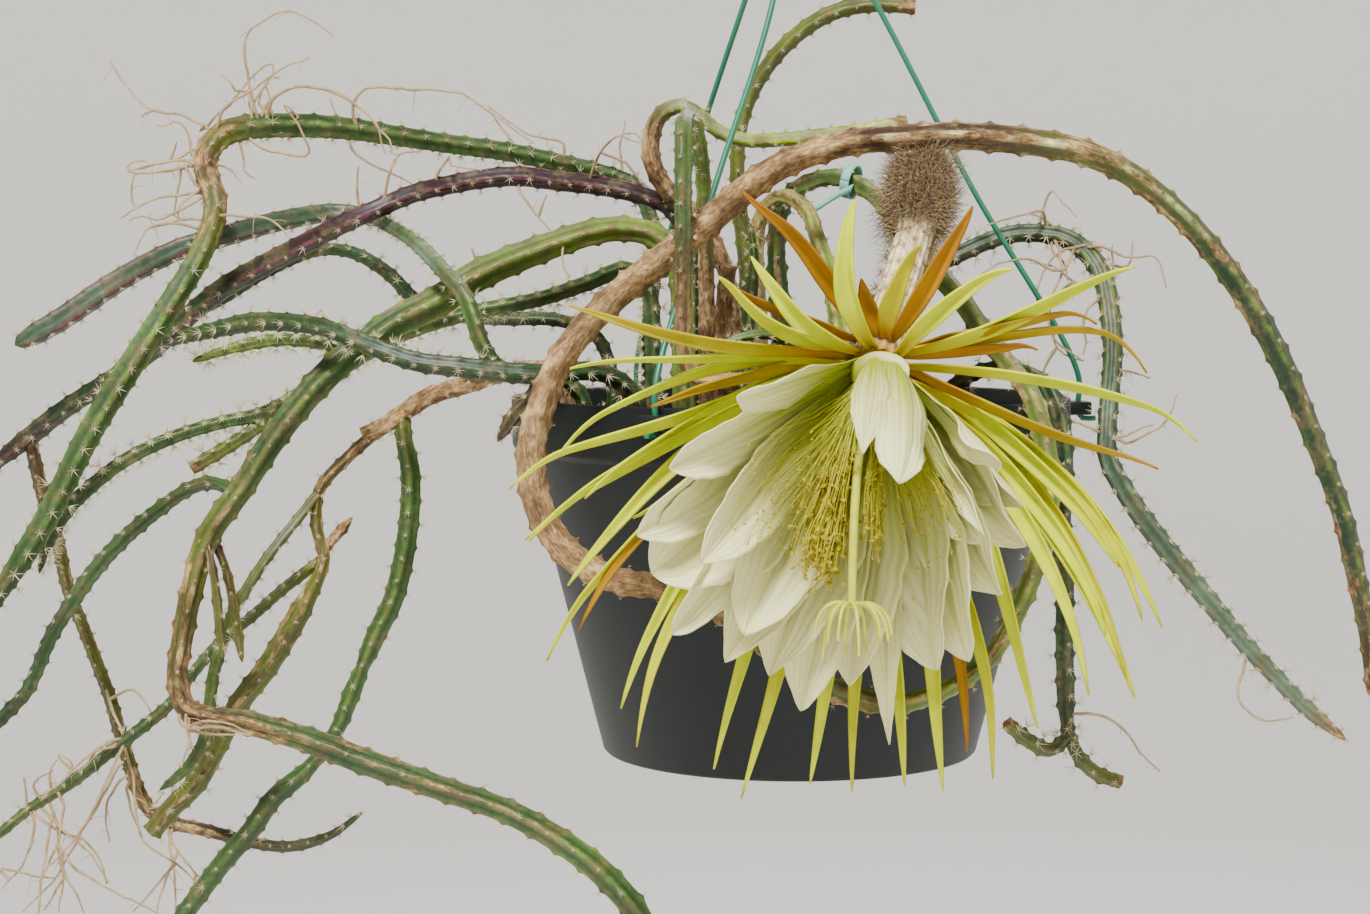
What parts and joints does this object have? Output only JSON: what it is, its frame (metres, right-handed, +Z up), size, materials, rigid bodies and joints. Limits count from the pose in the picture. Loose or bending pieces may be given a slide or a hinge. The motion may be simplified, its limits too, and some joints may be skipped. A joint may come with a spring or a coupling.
{
  "type": "queen of the night cactus in a hanging pot",
  "caption": "Trailing ribbed cactus stems with spines and air roots in a hanging pot with a wire hanger, with one large white night bloom open on the front.",
  "frame": {"origin": "inner top of the hanger's hook, where the plant hangs", "axes": "+Z up, +Y away from the viewer, +X to the viewer's right"},
  "size_m": [0.628, 0.387, 0.5385],
  "materials": {
    "pot": "satin moulded plastic, very dark green",
    "soil": "loose dark potting soil with bark",
    "hanger": "green plastic coat on wire",
    "tie": "soft woven tie",
    "stem_arch": "fleshy green skin, corky at the bend",
    "stem_purple": "fleshy skin flushed purple brown",
    "stem_blue": "fleshy grey-green skin",
    "stem_main": "fleshy yellow-green skin with cork patches",
    "stem_dark": "fleshy dark green skin",
    "stem_lower": "fleshy dark green skin",
    "stem_hairy": "fleshy green skin",
    "stem_woody": "olive skin and brown bark",
    "stem_ring": "tan cork bark, green at both ends",
    "stem_right": "fleshy grey-green skin",
    "stem_pale": "pale yellow-green skin with cork patches",
    "stem_tail": "fleshy dark green skin",
    "stem_cut": "olive skin, cut end",
    "stem_loop": "brown knobby bark to yellow green",
    "stem_hairpin": "bright green skin with brown edges",
    "shoot_upright": "fleshy green skin",
    "shoot_low": "fleshy green skin",
    "stub_dead": "dry brown stub",
    "bloom_tube": "cream to pink-beige ribbed tube with brown bristles",
    "bloom_sepals": "waxy lime yellow and orange brown",
    "bloom_petals": "silky white",
    "bloom_stamens": "yellow filaments and anthers",
    "bloom_style": "pale yellow green"
  },
  "bodies": {
    "root": {"pot": "pot", "soil": "soil", "hanger": "hanger", "tie": "tie", "stem_arch": "stem_arch", "stem_purple": "stem_purple", "stem_blue": "stem_blue", "stem_main": "stem_main", "stem_dark": "stem_dark", "stem_lower": "stem_lower", "stem_hairy": "stem_hairy", "stem_woody": "stem_woody", "stem_ring": "stem_ring", "stem_right": "stem_right", "stem_pale": "stem_pale", "stem_tail": "stem_tail", "stem_cut": "stem_cut", "stem_loop": "stem_loop", "stem_hairpin": "stem_hairpin", "shoot_upright": "shoot_upright", "shoot_low": "shoot_low", "stub_dead": "stub_dead", "bloom_tube": "bloom_tube", "bloom_sepals": "bloom_sepals", "bloom_petals": "bloom_petals", "bloom_stamens": "bloom_stamens", "bloom_style": "bloom_style"}
  },
  "joints": []
}
